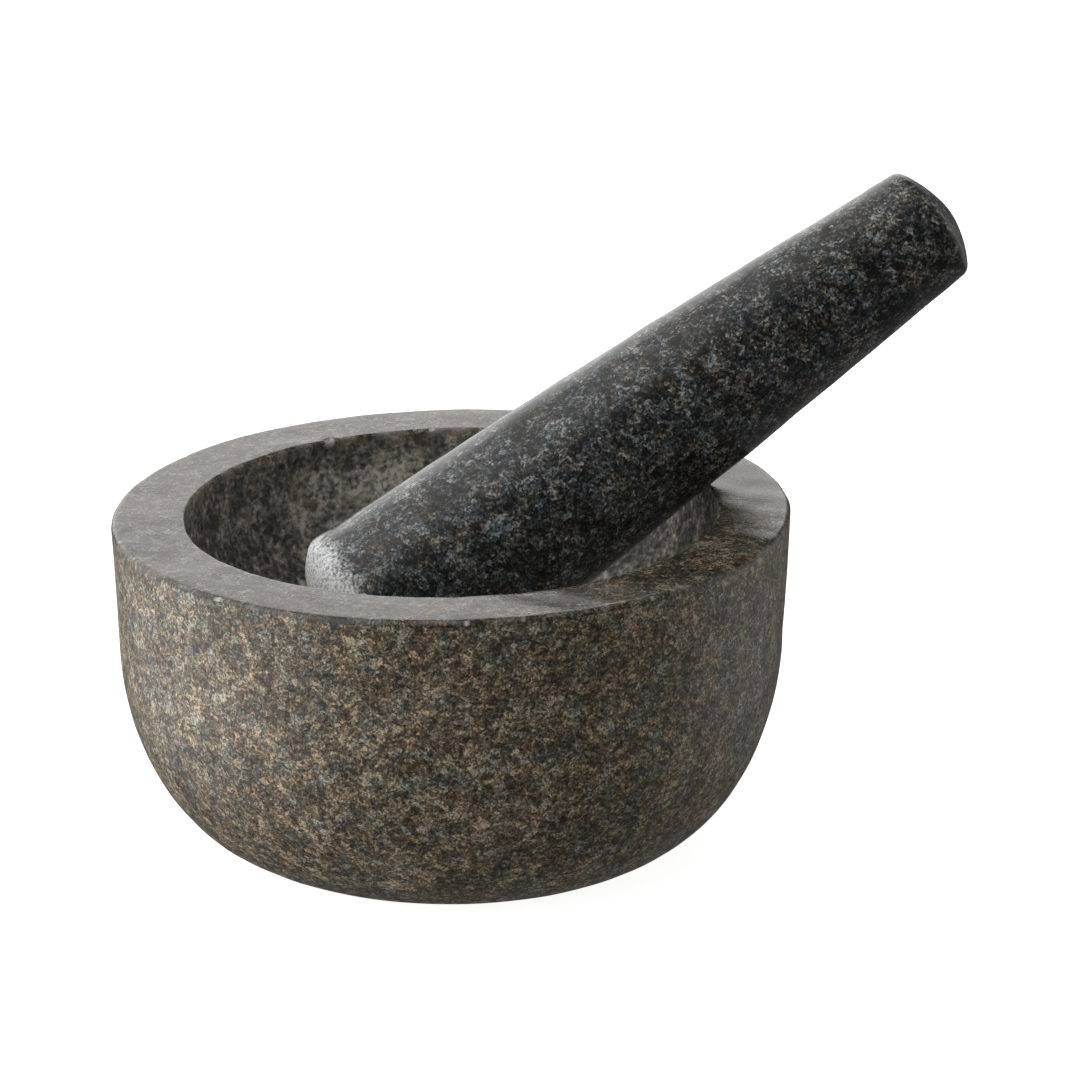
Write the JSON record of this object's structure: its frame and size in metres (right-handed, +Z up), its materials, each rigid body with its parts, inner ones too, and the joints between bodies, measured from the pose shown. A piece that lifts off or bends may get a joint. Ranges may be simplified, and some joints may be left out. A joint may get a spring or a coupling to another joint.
{
  "type": "mortar and pestle",
  "caption": "Round granite mortar with a thick flat rim and a flat base, holding a loose tapered pestle with a rounded grinding foot that lifts out.",
  "frame": {"origin": "centre of the mortar's flat base, on the surface that it stands on", "axes": "+Z up along the mortar's axis; +X towards the side of the rim that the pestle leans over; the pestle's handle points 15.4 degrees from +X towards +Y"},
  "size_m": [0.1778, 0.14, 0.1351],
  "materials": {
    "mortar_stone": "brown and charcoal granite, honed satin outside, rougher in the bowl",
    "pestle_stone": "charcoal granite with grey crystals, satin sides, ground rough on the foot"
  },
  "bodies": {
    "mortar": {"mortar": "mortar_stone"},
    "pestle": {"pestle": "pestle_stone"}
  },
  "joints": [
    {"name": "pestle_lift", "type": "slide", "parent": "mortar", "child": "pestle", "axis": [0, 0, 1], "range_m": [0, 0.1]}
  ]
}
